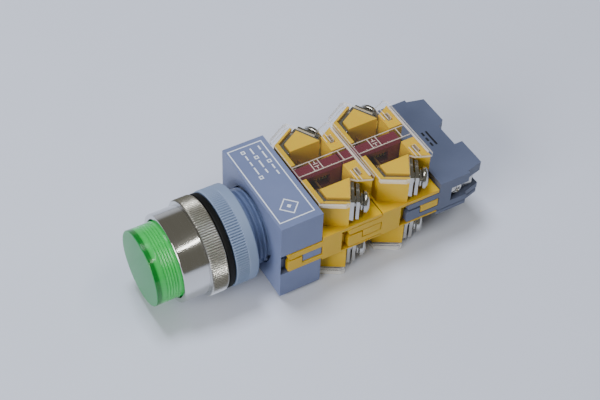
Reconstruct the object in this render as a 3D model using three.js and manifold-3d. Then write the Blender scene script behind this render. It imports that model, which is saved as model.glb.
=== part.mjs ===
// Illuminated panel push button with two stacked contact blocks and a lamp supply block.
// Millimetres, +Z up. The button axis is Y and the lens faces -Y. The assembly lies on the
// lower covers of its contact blocks, and +X and -X are its two terminal sides.

import * as THREE from 'three';
import { mergeVertices } from 'three/addons/utils/BufferGeometryUtils.js';
import Module from 'manifold-3d';

const wasm = await Module();
wasm.setup();

// Shared clearances and the stroke that the lens, the carrier and both sliders make together.
const GAP = 0.3;
const SLIDE_FIT = 0.4;
const STROKE = 4.5;

// Head: lens, bezel, gasket, nut and threaded sleeve, all turned about Y. The sleeve sets the
// panel hole, and the bore, bezel, flange, gasket, nut and lens follow from its radius.
const SLEEVE = { radius: 11, wall: 1.4, depthInBezel: 5.35, depthInAdapter: 4 };
const SLEEVE_SHOWING = 4.8;
const BEZEL_BORE = SLEEVE.radius + GAP;
const BEZEL = { wall: 1.5, length: 7.65, rimRound: 0.8 };
const BEZEL_RADIUS = BEZEL_BORE + BEZEL.wall;
const FLANGE = { step: 1.2, length: 4.95, edge: 0.6 };
const FLANGE_RADIUS = BEZEL_RADIUS + FLANGE.step;
const LENS = { wall: 1.1, face: 1.2, length: 8.9 };
const LENS_RADIUS = BEZEL_BORE - SLIDE_FIT;
const LENS_STANDOUT = 7.35;
const GASKET = { inset: 0.2, length: 1.7 };
const NUT = { length: 6.75, chamfer: 0.5 };
const DIFFUSER = { wall: 0.8, face: 1, length: 4.4 };
const CARRIER = { wall: 1.6, frontLip: 1.2, mouth: 6.2, legWidth: 4.4, legThickness: 1.25 };
const CARRIER_BACK = -9;
const SPRING_WIRE = 1;

// Lamp: bayonet bulb standing in a holder that the adapter block carries on two arms.
const BULB = { capRadius: 4.5, capLength: 15.2, glassRadius: 4.9, glassLength: 12.2 };
const HOLDER = { wall: 1, floor: 2, lip: -9.2, collarFront: -9.2, collar: 1 };
const HOLDER_ARM = { height: 4.4, depth: 2.5 };
const LEAD = { radius: 0.9, x: 6.5, front: 8.4, intoSupply: 3.4 };

// Adapter block between the head and the first contact block.
// It is as wide as the blocks, less a small step, and tall enough for the sleeve's hole.
const HALF_WIDTH = 17;
const ADAPTER = {
  halfWidth: HALF_WIDTH - 0.2, length: 12.8, bottom: -SLEEVE.radius - 2.4, top: SLEEVE.radius + 3,
};
const ADAPTER_WALL = { front: 3, side: 5, top: 2.4 };

// Contact block: everything below is measured from the block's own front plane.
const PITCH = 19.1;
const BODY_LENGTH = PITCH - GAP;
const FIRST_BLOCK = ADAPTER.length + GAP;
const DECK = { halfWidth: HALF_WIDTH, bottom: -4.9, top: 4.1 };
const WALL_TOP = 13.2;
const COVER = { outer: 14.5, plate: 0.8, rim: 1.6, rimWall: 1 };
const CHANNEL_FIT = 0.6;
const POCKET_INSET = 4.15;
const FRONT_WALL = { start: 0.7, end: 2.3 };
const POST = { start: 14, end: BODY_LENGTH - 0.4 };

// Latch fork at the front of a block, and the recess and tongue that it grips in the block ahead.
const RECESS = { depth: 2, top: 3, bottom: -4.4, beyondFork: 2.2 };
const FORK = { reach: 10.8, thickness: RECESS.depth - GAP, top: 2.7, slitTop: 0.7, slitBottom: 0, bottom: -4.1 };
const FORK_STEP = { at: -6.4, top: -2.5 };
const TONGUE = { length: 5.8, top: 0.4, bottom: -2.2 };
const NOSE_HOLE = { depth: 3, bottom: -0.4 };

// Screw terminals: axes level, turned outwards from Y, behind the slanted terminal towers.
const TERMINAL = { turn: 30, x: HALF_WIDTH - 4.75, y: 10.7, z: 8.9 };
const TOWER_HALF = 4.95;
const PLATE = { half: 3.9, bottom: 5.2, top: 12.5, thickness: 0.9 };
const CLAMP = { half: 3.6, bottom: 5.4, top: 12.3, thickness: 1, stand: 1.7 };
const POCKET = TERMINAL.x - POCKET_INSET;
const SCREW = { shank: 1.75, reach: 3.5, head: 3.2, headHeight: 2, washer: 2.7, washerHeight: 0.7 };
const STRIP = { thickness: 0.8, bottom: 5.2, top: 12.6, legInset: 1.4 };
const NORMALLY_OPEN_LEG = 12.4;

// Slider and contact bridges.
const SLIDER = { halfWidth: 2.4, crown: 1.45, crownDrop: 1.2, top: 13.3, bottom: 5.2, ahead: 4.4 };
const FRONT_NOSE_TOP = Math.min(ADAPTER.top, -ADAPTER.bottom) - ADAPTER_WALL.top - GAP;
const CHANNEL = SLIDER.halfWidth + CHANNEL_FIT;
const SLIDER_WEB = { front: 7, back: 11.2 };
const BRIDGE = { half: 6.9, height: 3, thickness: 0.6, z: 8.9 };
const RIVET = { radius: 1.3, length: 0.8, x: 5.4 };
const BRIDGE_FLOAT = 0.6;
const CONTACT_SPRING = { radius: 1.5, wall: 0.5, closed: 4, open: 2.4 };

// Lamp supply block behind the second contact block. Its tail narrows to two ears, its side
// slots run out at the rear, and its base plate plugs in from below.
const SUPPLY = { halfWidth: HALF_WIDTH, bottom: -6.5, top: 6, length: 9.9, wall: 1.6, side: 5.4 };
const SUPPLY_TAIL = { step: 0.9, taper: 1.3, plate: 2.7, ear: 2.6, notchRight: 5.3, notchLeft: 4.7, notchSlope: 2 };
const SUPPLY_BASE = { thickness: 1.6, plugDepth: 1.2, plugWall: 1.2 };
const SUPPLY_SLOT = { start: 4.2, z: 0, halfHeight: 2.6 };
const SUPPLY_SCREW_Y = 6.7;
const SUPPLY_SCREW = { shank: 1.3, head: 2.2, headHeight: 1.4, reach: 4.4, sunk: 0.8 };
const SUPPLY_TAB = { thickness: 0.8, length: 8.7 };
const RESISTOR = { radius: 2.4, half: 6.5 };

const ROUND = 40;
const SMALL_ROUND = 20;

// Solids. Each helper returns a Manifold, so that pieces can be joined and cut.
function solid(geometry) {
  const bare = geometry.index ? geometry.toNonIndexed() : geometry.clone();
  bare.deleteAttribute('normal');
  bare.deleteAttribute('uv');
  const merged = mergeVertices(bare, 1e-4);
  return new wasm.Manifold(new wasm.Mesh({
    numProp: 3,
    vertProperties: new Float32Array(merged.attributes.position.array),
    triVerts: new Uint32Array(merged.index.array),
  }));
}

function box(x0, x1, y0, y1, z0, z1) {
  const low = new THREE.Vector3(Math.min(x0, x1), Math.min(y0, y1), Math.min(z0, z1));
  const high = new THREE.Vector3(Math.max(x0, x1), Math.max(y0, y1), Math.max(z0, z1));
  const size = high.clone().sub(low);
  const centre = high.add(low).multiplyScalar(0.5);
  return solid(new THREE.BoxGeometry(size.x, size.y, size.z).translate(centre.x, centre.y, centre.z));
}

// A plan outline in X and Y, raised from z0 to z1.
function prism(outline, z0, z1) {
  const shape = new THREE.Shape(outline.map(([x, y]) => new THREE.Vector2(x, y)));
  const depth = Math.abs(z1 - z0);
  const geometry = new THREE.ExtrudeGeometry(shape, { depth, bevelEnabled: false });
  return solid(geometry.translate(0, 0, Math.min(z0, z1)));
}

// A side outline in Y and Z, carried across from x0 to x1.
function sidePrism(shape, x0, x1) {
  const depth = Math.abs(x1 - x0);
  const geometry = new THREE.ExtrudeGeometry(shape, { depth, bevelEnabled: false, curveSegments: 6 });
  geometry.applyMatrix4(new THREE.Matrix4().makeBasis(
    new THREE.Vector3(0, 1, 0), new THREE.Vector3(0, 0, 1), new THREE.Vector3(1, 0, 0)));
  return solid(geometry.translate(Math.min(x0, x1), 0, 0));
}

// A front outline in X and Z, carried back from y0 to y1.
function frontPrism(outline, y0, y1) {
  const shape = new THREE.Shape(outline.map(([x, z]) => new THREE.Vector2(x, z)));
  const geometry = new THREE.ExtrudeGeometry(shape, { depth: y1 - y0, bevelEnabled: false });
  return solid(geometry.rotateX(Math.PI / 2).translate(0, y1, 0));
}

// A closed profile of [radius, y] points turned about the Y axis, listed either way round.
function turned(profile, segments = ROUND) {
  const points = profile.map(([r, y]) => new THREE.Vector2(r, y));
  if (THREE.ShapeUtils.isClockWise(points)) {
    points.reverse();
  }
  points.push(points[0].clone());
  return solid(new THREE.LatheGeometry(points, segments));
}

function ring(outer, inner, y0, y1, segments = ROUND) {
  return turned([[inner, y0], [outer, y0], [outer, y1], [inner, y1]], segments);
}

function rod(radius, y0, y1, x = 0, z = 0, segments = SMALL_ROUND) {
  const geometry = new THREE.CylinderGeometry(radius, radius, Math.abs(y1 - y0), segments);
  return solid(geometry.translate(x, (y0 + y1) / 2, z));
}

function crossRod(radius, x0, x1, y, z) {
  const geometry = new THREE.CylinderGeometry(radius, radius, Math.abs(x1 - x0), SMALL_ROUND);
  return solid(geometry.rotateZ(Math.PI / 2).translate((x0 + x1) / 2, y, z));
}

function join(...solids) {
  return solids.reduce((whole, next) => whole.add(next));
}

function cut(whole, ...tools) {
  return tools.reduce((rest, tool) => rest.subtract(tool), whole);
}

function geometryOf(shape) {
  const mesh = shape.getMesh();
  const geometry = new THREE.BufferGeometry();
  const step = mesh.numProp;
  const positions = new Float32Array((mesh.vertProperties.length / step) * 3);
  for (let i = 0; i < positions.length / 3; i += 1) {
    positions.set(mesh.vertProperties.subarray(i * step, i * step + 3), i * 3);
  }
  geometry.setAttribute('position', new THREE.BufferAttribute(positions, 3));
  geometry.setIndex(new THREE.BufferAttribute(new Uint32Array(mesh.triVerts), 1));
  return geometry;
}

// Looks of the materials.
const MATERIALS = {
  lens: [0x3fa257, 0.25, 0],
  diffuser: [0xdfe8df, 0.6, 0],
  aluminium: [0xc9ccd0, 0.2, 1],
  rubber: [0x17181a, 0.85, 0],
  greyBlue: [0x74849c, 0.5, 0],
  greyBlueDark: [0x667088, 0.5, 0],
  yellow: [0xc09a2e, 0.45, 0],
  maroon: [0x6e2c3a, 0.4, 0],
  clear: [0xd8dcdc, 0.1, 0],
  nickel: [0xb9babb, 0.25, 1],
  brass: [0xb08d4a, 0.35, 1],
  spring: [0x9a9da0, 0.3, 1],
  glass: [0xe8ecec, 0.05, 0],
  ceramic: [0xd9d4c6, 0.8, 0],
};

function piece(name, shape, look) {
  const [color, roughness, metalness] = MATERIALS[look];
  const material = new THREE.MeshStandardMaterial({ color, roughness, metalness });
  const mesh = new THREE.Mesh(geometryOf(shape), material);
  mesh.name = name;
  return mesh;
}

// Places along the button axis that several pieces share.
const NUT_BACK = -SLEEVE_SHOWING;
const NUT_FRONT = NUT_BACK - NUT.length;
const GASKET_BACK = NUT_FRONT - GAP;
const GASKET_FRONT = GASKET_BACK - GASKET.length;
const FLANGE_BACK = GASKET_FRONT - GAP;
const FLANGE_FRONT = FLANGE_BACK - FLANGE.length;
const BEZEL_FRONT = FLANGE_FRONT - BEZEL.length;
const LENS_FRONT = BEZEL_FRONT - LENS_STANDOUT;
const SLEEVE_BORE = SLEEVE.radius - SLEEVE.wall;
const CARRIER_RADIUS = SLEEVE_BORE - GAP;
const CARRIER_BORE = CARRIER_RADIUS - CARRIER.wall;
const DIFFUSER_FRONT = LENS_FRONT + LENS.face + GAP;
const CARRIER_FRONT = DIFFUSER_FRONT + DIFFUSER.length + GAP;
const HOLDER_BORE = BULB.capRadius + GAP;
const HOLDER_RADIUS = HOLDER_BORE + HOLDER.wall;
const SLIDER_LENGTH = PITCH - GAP;
const SLIDER_FRONT = FIRST_BLOCK - SLIDER.ahead;
const CAVITY_HALF = ADAPTER.halfWidth - ADAPTER_WALL.side;
const HOLDER_BACK = LEAD.front - GAP;

// ---- Head -------------------------------------------------------------------------------

function lensCap() {
  const inner = LENS_RADIUS - LENS.wall;
  const back = LENS_FRONT + LENS.length;
  return turned([
    [0, LENS_FRONT], [LENS_RADIUS - 0.7, LENS_FRONT], [LENS_RADIUS, LENS_FRONT + 0.7],
    [LENS_RADIUS, back], [inner, back], [inner, LENS_FRONT + LENS.face], [0, LENS_FRONT + LENS.face],
  ]);
}

function lightDiffuser() {
  const outer = LENS_RADIUS - LENS.wall - SLIDE_FIT;
  const inner = outer - DIFFUSER.wall;
  const back = DIFFUSER_FRONT + DIFFUSER.length;
  const face = DIFFUSER_FRONT + DIFFUSER.face;
  return turned([
    [0, DIFFUSER_FRONT], [outer, DIFFUSER_FRONT], [outer, back], [inner, back], [inner, face], [0, face],
  ]);
}

function bezel() {
  const round = BEZEL.rimRound;
  return turned([
    [BEZEL_BORE, BEZEL_FRONT + round], [BEZEL_BORE + round / 2, BEZEL_FRONT],
    [BEZEL_RADIUS - round, BEZEL_FRONT], [BEZEL_RADIUS, BEZEL_FRONT + round],
    [BEZEL_RADIUS, FLANGE_FRONT], [FLANGE_RADIUS - FLANGE.edge, FLANGE_FRONT],
    [FLANGE_RADIUS, FLANGE_FRONT + FLANGE.edge], [FLANGE_RADIUS, FLANGE_BACK - FLANGE.edge],
    [FLANGE_RADIUS - FLANGE.edge, FLANGE_BACK], [BEZEL_BORE, FLANGE_BACK],
  ]);
}

function sealingGasket() {
  return ring(FLANGE_RADIUS - GASKET.inset, SLEEVE.radius + GAP, GASKET_FRONT, GASKET_BACK);
}

function lockNut() {
  const bore = SLEEVE.radius + GAP;
  return turned([
    [bore, NUT_FRONT], [FLANGE_RADIUS - NUT.chamfer, NUT_FRONT], [FLANGE_RADIUS, NUT_FRONT + NUT.chamfer],
    [FLANGE_RADIUS, NUT_BACK - NUT.chamfer], [FLANGE_RADIUS - NUT.chamfer, NUT_BACK], [bore, NUT_BACK],
  ]);
}

function threadedSleeve() {
  const front = FLANGE_BACK - SLEEVE.depthInBezel;
  return ring(SLEEVE.radius, SLEEVE_BORE, front, SLEEVE.depthInAdapter);
}

// The carrier is a tube with two legs that reach back to the first slider.
function buttonCarrier() {
  const lip = CARRIER_FRONT + CARRIER.frontLip;
  const tube = turned([
    [CARRIER.mouth, CARRIER_FRONT], [CARRIER_RADIUS, CARRIER_FRONT], [CARRIER_RADIUS, CARRIER_BACK],
    [CARRIER_BORE, CARRIER_BACK], [CARRIER_BORE, lip], [CARRIER.mouth, lip],
  ]);
  const legs = [1, -1].map((half) => {
    const inside = CARRIER_BORE + 0.05;
    const outside = inside + CARRIER.legThickness;
    const width = CARRIER.legWidth / 2;
    return box(-width, width, CARRIER_BACK - 2, SLIDER_FRONT - GAP, half * inside, half * outside);
  });
  return join(tube, ...legs);
}

function returnSpring() {
  const outer = CARRIER_BORE - SLIDE_FIT;
  const front = CARRIER_FRONT + CARRIER.frontLip + GAP;
  return ring(outer, outer - SPRING_WIRE, front, HOLDER.collarFront - GAP, 24);
}

function lampBulb() {
  const back = HOLDER_BACK - HOLDER.floor - GAP;
  const rim = back - BULB.capLength;
  const neck = rim - 1;
  const tip = rim - BULB.glassLength;
  const glass = BULB.glassRadius;
  return turned([
    [0, back], [BULB.capRadius - 1, back], [BULB.capRadius, back - 1], [BULB.capRadius, rim],
    [glass, neck], [glass, tip + glass], [glass * 0.87, tip + glass * 0.5],
    [glass * 0.5, tip + glass * 0.13], [0, tip],
  ], 24);
}

function lampHolder() {
  const cup = turned([
    [0, HOLDER_BACK], [0, HOLDER_BACK - HOLDER.floor], [HOLDER_BORE, HOLDER_BACK - HOLDER.floor],
    [HOLDER_BORE, HOLDER.lip], [HOLDER_RADIUS, HOLDER.lip], [HOLDER_RADIUS, HOLDER_BACK],
  ], 24);
  const seat = CARRIER_BORE - SLIDE_FIT;
  const collar = ring(seat, HOLDER_BORE + 0.5, HOLDER.collarFront, HOLDER.collarFront + HOLDER.collar, 24);
  const reach = CAVITY_HALF - GAP;
  const arm = HOLDER_ARM.height / 2;
  const bar = box(-reach, reach, HOLDER_BACK - HOLDER_ARM.depth, HOLDER_BACK, -arm, arm);
  const bore = ring(HOLDER_BORE, 0, HOLDER.lip, HOLDER_BACK - HOLDER.floor, 24);
  return cut(join(cup, collar, bar), bore);
}

// ---- Latching shared by the adapter and the contact blocks -------------------------------

// The recess in both sides of a block that ends at `back`, with the tongue left standing.
function recesses(halfWidth, back) {
  const front = back + GAP - FORK.reach - RECESS.beyondFork;
  const floor = halfWidth - RECESS.depth;
  const outside = halfWidth + 1;
  return [1, -1].map((side) => {
    const room = box(side * floor, side * outside, front, back + 1, RECESS.bottom, RECESS.top);
    const tongueFront = back - TONGUE.length;
    const tongue = box(side * (floor - 1), side * (outside + 1), tongueFront, back + 2,
      TONGUE.bottom, TONGUE.top);
    const nose = box(side * (floor - NOSE_HOLE.depth), side * outside, front, front + 2,
      NOSE_HOLE.bottom, RECESS.top);
    return room.subtract(tongue).add(nose);
  });
}

// The two-pronged latch that reaches forwards over the block ahead, on both sides.
function forks(halfWidth) {
  const nose = (FORK.top - FORK.slitTop) / 2;
  const root = 0.5;
  const upper = new THREE.Shape();
  upper.moveTo(root, FORK.slitTop);
  upper.lineTo(root, FORK.top);
  upper.lineTo(-FORK.reach + nose, FORK.top);
  upper.absarc(-FORK.reach + nose, FORK.slitTop + nose, nose, Math.PI / 2, Math.PI * 1.5, false);
  upper.lineTo(root, FORK.slitTop);
  const lower = new THREE.Shape([
    [root, FORK.bottom], [root, FORK_STEP.top], [FORK_STEP.at, FORK_STEP.top],
    [FORK_STEP.at, FORK.slitBottom], [-FORK.reach + 0.6, FORK.slitBottom],
    [-FORK.reach, FORK.slitBottom - 0.6], [-FORK.reach, FORK.bottom + 0.4],
    [-FORK.reach + 0.4, FORK.bottom],
  ].map(([y, z]) => new THREE.Vector2(y, z)));
  return [1, -1].flatMap((side) => {
    const outside = side * halfWidth;
    const inside = side * (halfWidth - FORK.thickness);
    return [sidePrism(upper, inside, outside), sidePrism(lower, inside, outside)];
  });
}

// ---- Adapter block ------------------------------------------------------------------------

function adapterBlock() {
  const { halfWidth, length, bottom, top } = ADAPTER;
  const block = box(-halfWidth, halfWidth, 0, length, bottom, top);
  const cavity = box(-CAVITY_HALF, CAVITY_HALF, ADAPTER_WALL.front, length + 1,
    bottom + ADAPTER_WALL.top, top - ADAPTER_WALL.top);
  const hole = ring(SLEEVE.radius + GAP, 0, -1, ADAPTER_WALL.front + 1);
  return cut(block, cavity, hole, ...recesses(halfWidth, length));
}

function lampLead(side, supplyFront) {
  const reach = supplyFront + LEAD.intoSupply;
  return rod(LEAD.radius, LEAD.front, reach, side * LEAD.x, 0, 12);
}

// ---- Contact block --------------------------------------------------------------------------

// Plan directions of a terminal: `along` its screw axis, towards the head, and `across` it.
const TURN = THREE.MathUtils.degToRad(TERMINAL.turn);
const ALONG = new THREE.Vector2(Math.sin(TURN), Math.cos(TURN));
const ACROSS = new THREE.Vector2(Math.cos(TURN), -Math.sin(TURN));

// Plan point `u` across and `t` along from the middle of the tower's rear face.
function terminalPoint(side, u, t) {
  const x = TERMINAL.x + ACROSS.x * u + ALONG.x * t;
  const y = TERMINAL.y + ACROSS.y * u + ALONG.y * t;
  return [side * x, y];
}

// A block in terminal directions, between two heights of the half that it stands in.
function terminalBox(side, half, u0, u1, t0, t1, z0, z1) {
  const corners = [[u0, t0], [u1, t0], [u1, t1], [u0, t1]];
  return prism(corners.map(([u, t]) => terminalPoint(side, u, t)), half * z0, half * z1);
}

// A cylinder or cone along a terminal's screw axis.
function terminalRod(side, half, radius, t0, t1, farRadius = radius, segments = SMALL_ROUND) {
  const [x, y] = terminalPoint(side, 0, (t0 + t1) / 2);
  const geometry = new THREE.CylinderGeometry(farRadius, radius, t1 - t0, segments);
  return solid(geometry.rotateZ(-side * TURN).translate(x, y, half * TERMINAL.z));
}

// Where the outer face of a tower meets the plan line y.
function towerFaceX(y) {
  const [x0, y0] = terminalPoint(1, TOWER_HALF, 0);
  return x0 + ((y - y0) * ALONG.x) / ALONG.y;
}

// A tower's rear face meets the pocket wall here.
const POCKET_BACK = TERMINAL.y + ((TERMINAL.x - POCKET) * Math.tan(TURN));
const STRIP_Y = FRONT_WALL.end + GAP + STRIP.thickness / 2;
const STRIP_U = TOWER_HALF - STRIP.legInset;
const STRIP_CORNER = (() => {
  const [x0, y0] = terminalPoint(1, STRIP_U, 0);
  return x0 + ((STRIP_Y - y0) * ALONG.x) / ALONG.y;
})();

function tower(side, half, normallyClosed) {
  const mirror = ([x, y]) => [side * x, y];
  const { start, end } = FRONT_WALL;
  const deck = half > 0 ? DECK.top : -DECK.bottom;
  const outline = [
    [CHANNEL, start], [towerFaceX(start), start], [...terminalPoint(1, TOWER_HALF, 0)],
    [POCKET, POCKET_BACK], [POCKET, end], [CHANNEL, end],
  ].map(mirror);
  const body = prism(outline, half * (deck - 0.5), half * WALL_TOP);
  const slot = STRIP.thickness / 2 + GAP;
  const hole = terminalRod(side, half, SCREW.shank + GAP, -SCREW.reach - 0.6, 1);
  const tunnelFloor = STRIP.bottom - GAP;
  const sideGroove = terminalBox(side, half, STRIP_U - slot, STRIP_U + slot,
    -9.2, 1, tunnelFloor, WALL_TOP + 1);
  if (!normallyClosed) {
    return cut(body, hole);
  }
  const groove = box(side * (POCKET - 1), side * (STRIP_CORNER + slot), STRIP_Y - slot, STRIP_Y + slot,
    half * tunnelFloor, half * (WALL_TOP + 1));
  return cut(body, hole, groove, sideGroove.intersect(
    box(0, side * 30, STRIP_Y - slot, 30, half * tunnelFloor, half * (WALL_TOP + 1))));
}

// The post behind a terminal, which the cover's hook drops into.
const HOOK = { x: 6, width: 2.4, y: 15.6, thickness: 1, depth: 3.2 };

function post(side, half) {
  const deck = half > 0 ? DECK.top : -DECK.bottom;
  const [frontX] = terminalPoint(1, -PLATE.half - 0.5, (POST.start - TERMINAL.y) / ALONG.y - 2.6);
  const outline = [
    [CHANNEL, POST.start], [frontX, POST.start], [frontX + (POST.end - POST.start) * 0.55, POST.end],
    [CHANNEL, POST.end],
  ].map(([x, y]) => [side * x, y]);
  const socket = box(side * (HOOK.x - GAP), side * (HOOK.x + HOOK.width + GAP),
    HOOK.y - GAP, HOOK.y + HOOK.thickness + GAP, half * (WALL_TOP - HOOK.depth), half * (WALL_TOP + 1));
  return prism(outline, half * (deck - 0.5), half * WALL_TOP).subtract(socket);
}

function contactHousing() {
  const { halfWidth, bottom, top } = DECK;
  const deck = box(-halfWidth, halfWidth, 0, BODY_LENGTH, bottom, top);
  const slot = box(-CHANNEL, CHANNEL, SLIDER_WEB.front - SLIDE_FIT,
    SLIDER_WEB.back + STROKE + SLIDE_FIT, bottom - 1, top + 1);
  const leadHoles = [1, -1].map((side) => rod(LEAD.radius + GAP, -1, PITCH + 1, side * LEAD.x, 0, 12));
  const standing = [];
  for (const side of [1, -1]) {
    for (const half of [1, -1]) {
      standing.push(tower(side, half, half > 0), post(side, half));
    }
  }
  const body = cut(deck, slot, ...leadHoles, ...recesses(halfWidth, BODY_LENGTH));
  return join(body, ...forks(halfWidth), ...standing);
}

function rivet(x, z, y0, y1) {
  return rod(RIVET.radius, y0, y1, x, z, 12);
}

// Terminal plate behind the tower, with a strip that leads to the fixed contact.
function terminalStrip(side, half, normallyClosed) {
  const { thickness } = STRIP;
  const plateBack = GAP + PLATE.thickness;
  const plate = cut(
    terminalBox(side, half, -PLATE.half, PLATE.half, GAP, plateBack, PLATE.bottom, PLATE.top),
    terminalRod(side, half, SCREW.shank + GAP, -1, 3));
  const rivetZ = half * BRIDGE.z;
  const rivetX = side * RIVET.x;
  if (!normallyClosed) {
    const leg = NORMALLY_OPEN_LEG;
    const [plateX] = terminalPoint(1, -PLATE.half, GAP);
    const contactLeg = box(side * (RIVET.x - RIVET.radius), side * (plateX + 0.6), leg, leg + thickness,
      half * PLATE.bottom, half * (BRIDGE.z + RIVET.radius));
    const bend = terminalBox(side, half, -PLATE.half - 0.3, -PLATE.half + 0.6, -0.35, plateBack,
      PLATE.bottom, BRIDGE.z + RIVET.radius);
    const towerRoom = tower(side, half, false);
    const clear = cut(join(contactLeg, bend), towerRoom);
    return join(plate, clear, rivet(rivetX, rivetZ, leg - RIVET.length, leg + 0.1));
  }
  const halfThick = thickness / 2;
  const back = terminalBox(side, half, STRIP_U - halfThick, STRIP_U + halfThick, -12, plateBack,
    STRIP.bottom, STRIP.top).intersect(
    box(0, side * 30, STRIP_Y - halfThick, 30, half * STRIP.bottom, half * STRIP.top));
  const front = box(side * POCKET, side * (STRIP_CORNER + halfThick),
    STRIP_Y - halfThick, STRIP_Y + halfThick, half * STRIP.bottom, half * STRIP.top);
  const contactEnd = box(side * (RIVET.x - RIVET.radius), side * (POCKET + 0.5),
    STRIP_Y - halfThick, STRIP_Y + halfThick, half * STRIP.bottom, half * (BRIDGE.z + RIVET.radius));
  const faceY = STRIP_Y + halfThick;
  return join(plate, back, front, contactEnd, rivet(rivetX, rivetZ, faceY - 0.1, faceY + RIVET.length));
}

function clampPlate(side, half) {
  const { stand, thickness, bottom, top } = CLAMP;
  return cut(
    terminalBox(side, half, -CLAMP.half, CLAMP.half, stand, stand + thickness, bottom, top),
    terminalRod(side, half, SCREW.shank + GAP, stand - 1, stand + thickness + 1));
}

const WASHER_AT = CLAMP.stand + CLAMP.thickness + GAP;
const HEAD_AT = WASHER_AT + SCREW.washerHeight;

function terminalScrew(side, half) {
  const crown = HEAD_AT + SCREW.headHeight * 0.6;
  return join(
    terminalRod(side, half, SCREW.shank, -SCREW.reach, HEAD_AT + 0.2),
    terminalRod(side, half, SCREW.washer, WASHER_AT, HEAD_AT + 0.1),
    terminalRod(side, half, SCREW.head, HEAD_AT, crown),
    terminalRod(side, half, SCREW.head, crown, HEAD_AT + SCREW.headHeight, SCREW.head * 0.8));
}

// Clear cover over one half of a block: wings over the towers and a tail over the posts.
const WING = { front: HALF_WIDTH - 3.1, outer: HALF_WIDTH + 0.5, start: 6.4, end: 7.6 };

function coverOutline() {
  const waist = WING.outer - 7.9;
  const right = [
    [WING.front, GAP], [WING.outer, WING.start], [WING.outer, WING.end], [waist, 12.3],
    [waist + 1.3, 13.5], [waist + 3.1, BODY_LENGTH - 0.9], [waist + 2.1, BODY_LENGTH],
  ];
  const left = right.map(([x, y]) => [-x, y]).reverse();
  return [...right, ...left];
}

function cover(half) {
  const inner = COVER.outer - COVER.plate;
  const plate = prism(coverOutline(), half * inner, half * COVER.outer);
  const rims = [1, -1].flatMap((side) => {
    const wing = prism([
      [side * WING.front, GAP], [side * WING.outer, WING.start], [side * WING.outer, WING.end],
      [side * (WING.outer - COVER.rimWall), WING.end],
      [side * (WING.outer - COVER.rimWall), WING.start + 0.3],
      [side * (WING.front - COVER.rimWall), GAP],
    ], half * (COVER.outer - COVER.rim), half * (inner + 0.1));
    const hook = box(side * HOOK.x, side * (HOOK.x + HOOK.width), HOOK.y, HOOK.y + HOOK.thickness,
      half * (WALL_TOP - HOOK.depth + GAP), half * (inner + 0.1));
    return [wing, hook];
  });
  return join(plate, ...rims);
}

// Slider: an upper and a lower bar joined by a web through the deck, with bridge windows.
const CLOSED_BRIDGE = STRIP_Y + STRIP.thickness / 2 + 2 * RIVET.length + GAP;
const OPEN_BRIDGE = NORMALLY_OPEN_LEG - 2 * RIVET.length - STROKE - GAP - BRIDGE.thickness;

// The first slider's nose is lower than the bar, so that it fits inside the adapter block.
function slider(noseTop) {
  const { halfWidth, crown, crownDrop, top, bottom, ahead } = SLIDER;
  const back = SLIDER_LENGTH - ahead;
  const windowHalf = BRIDGE.height / 2 + GAP;
  const springRoom = (length) => length + 2 * GAP;
  const parts = [1, -1].map((half) => {
    const outline = [
      [-halfWidth, half * bottom], [halfWidth, half * bottom], [halfWidth, half * (top - crownDrop)],
      [crown, half * top], [-crown, half * top], [-halfWidth, half * (top - crownDrop)],
    ];
    const aboveNose = box(-halfWidth - 1, halfWidth + 1, -ahead - 1, SLIDE_FIT,
      half * noseTop, half * (top + 1));
    return frontPrism(outline, -ahead, back).subtract(aboveNose);
  });
  const web = box(-halfWidth, halfWidth, SLIDER_WEB.front, SLIDER_WEB.back, -bottom - 0.5, bottom + 0.5);
  const closedFront = CLOSED_BRIDGE - BRIDGE_FLOAT - GAP;
  const closedBack = CLOSED_BRIDGE + BRIDGE.thickness + springRoom(CONTACT_SPRING.closed);
  const openFront = OPEN_BRIDGE - springRoom(CONTACT_SPRING.open);
  const openBack = OPEN_BRIDGE + BRIDGE.thickness + GAP;
  const windows = [
    box(-3, 3, closedFront, closedBack, BRIDGE.z - windowHalf, BRIDGE.z + windowHalf),
    box(-3, 3, openFront, openBack, -BRIDGE.z - windowHalf, -BRIDGE.z + windowHalf),
  ];
  return cut(join(...parts, web), ...windows);
}

// Moving bridge with a contact rivet at each end, facing `direction` along Y.
function contactBridge(start, z, direction) {
  const plate = box(-BRIDGE.half, BRIDGE.half, start, start + BRIDGE.thickness,
    z - BRIDGE.height / 2, z + BRIDGE.height / 2);
  const face = direction > 0 ? start + BRIDGE.thickness : start;
  const rivets = [1, -1].map((side) => {
    const ends = [face - direction * 0.1, face + direction * RIVET.length];
    return rivet(side * RIVET.x, z, Math.min(...ends), Math.max(...ends));
  });
  return join(plate, ...rivets);
}

function contactSpring(start, length, z) {
  const geometry = ring(CONTACT_SPRING.radius, CONTACT_SPRING.radius - CONTACT_SPRING.wall,
    start, start + length, 16);
  return geometry.translate([0, 0, z]);
}

const CORNERS = [
  ['upper_right', 1, 1], ['upper_left', -1, 1], ['lower_right', 1, -1], ['lower_left', -1, -1],
];

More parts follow.
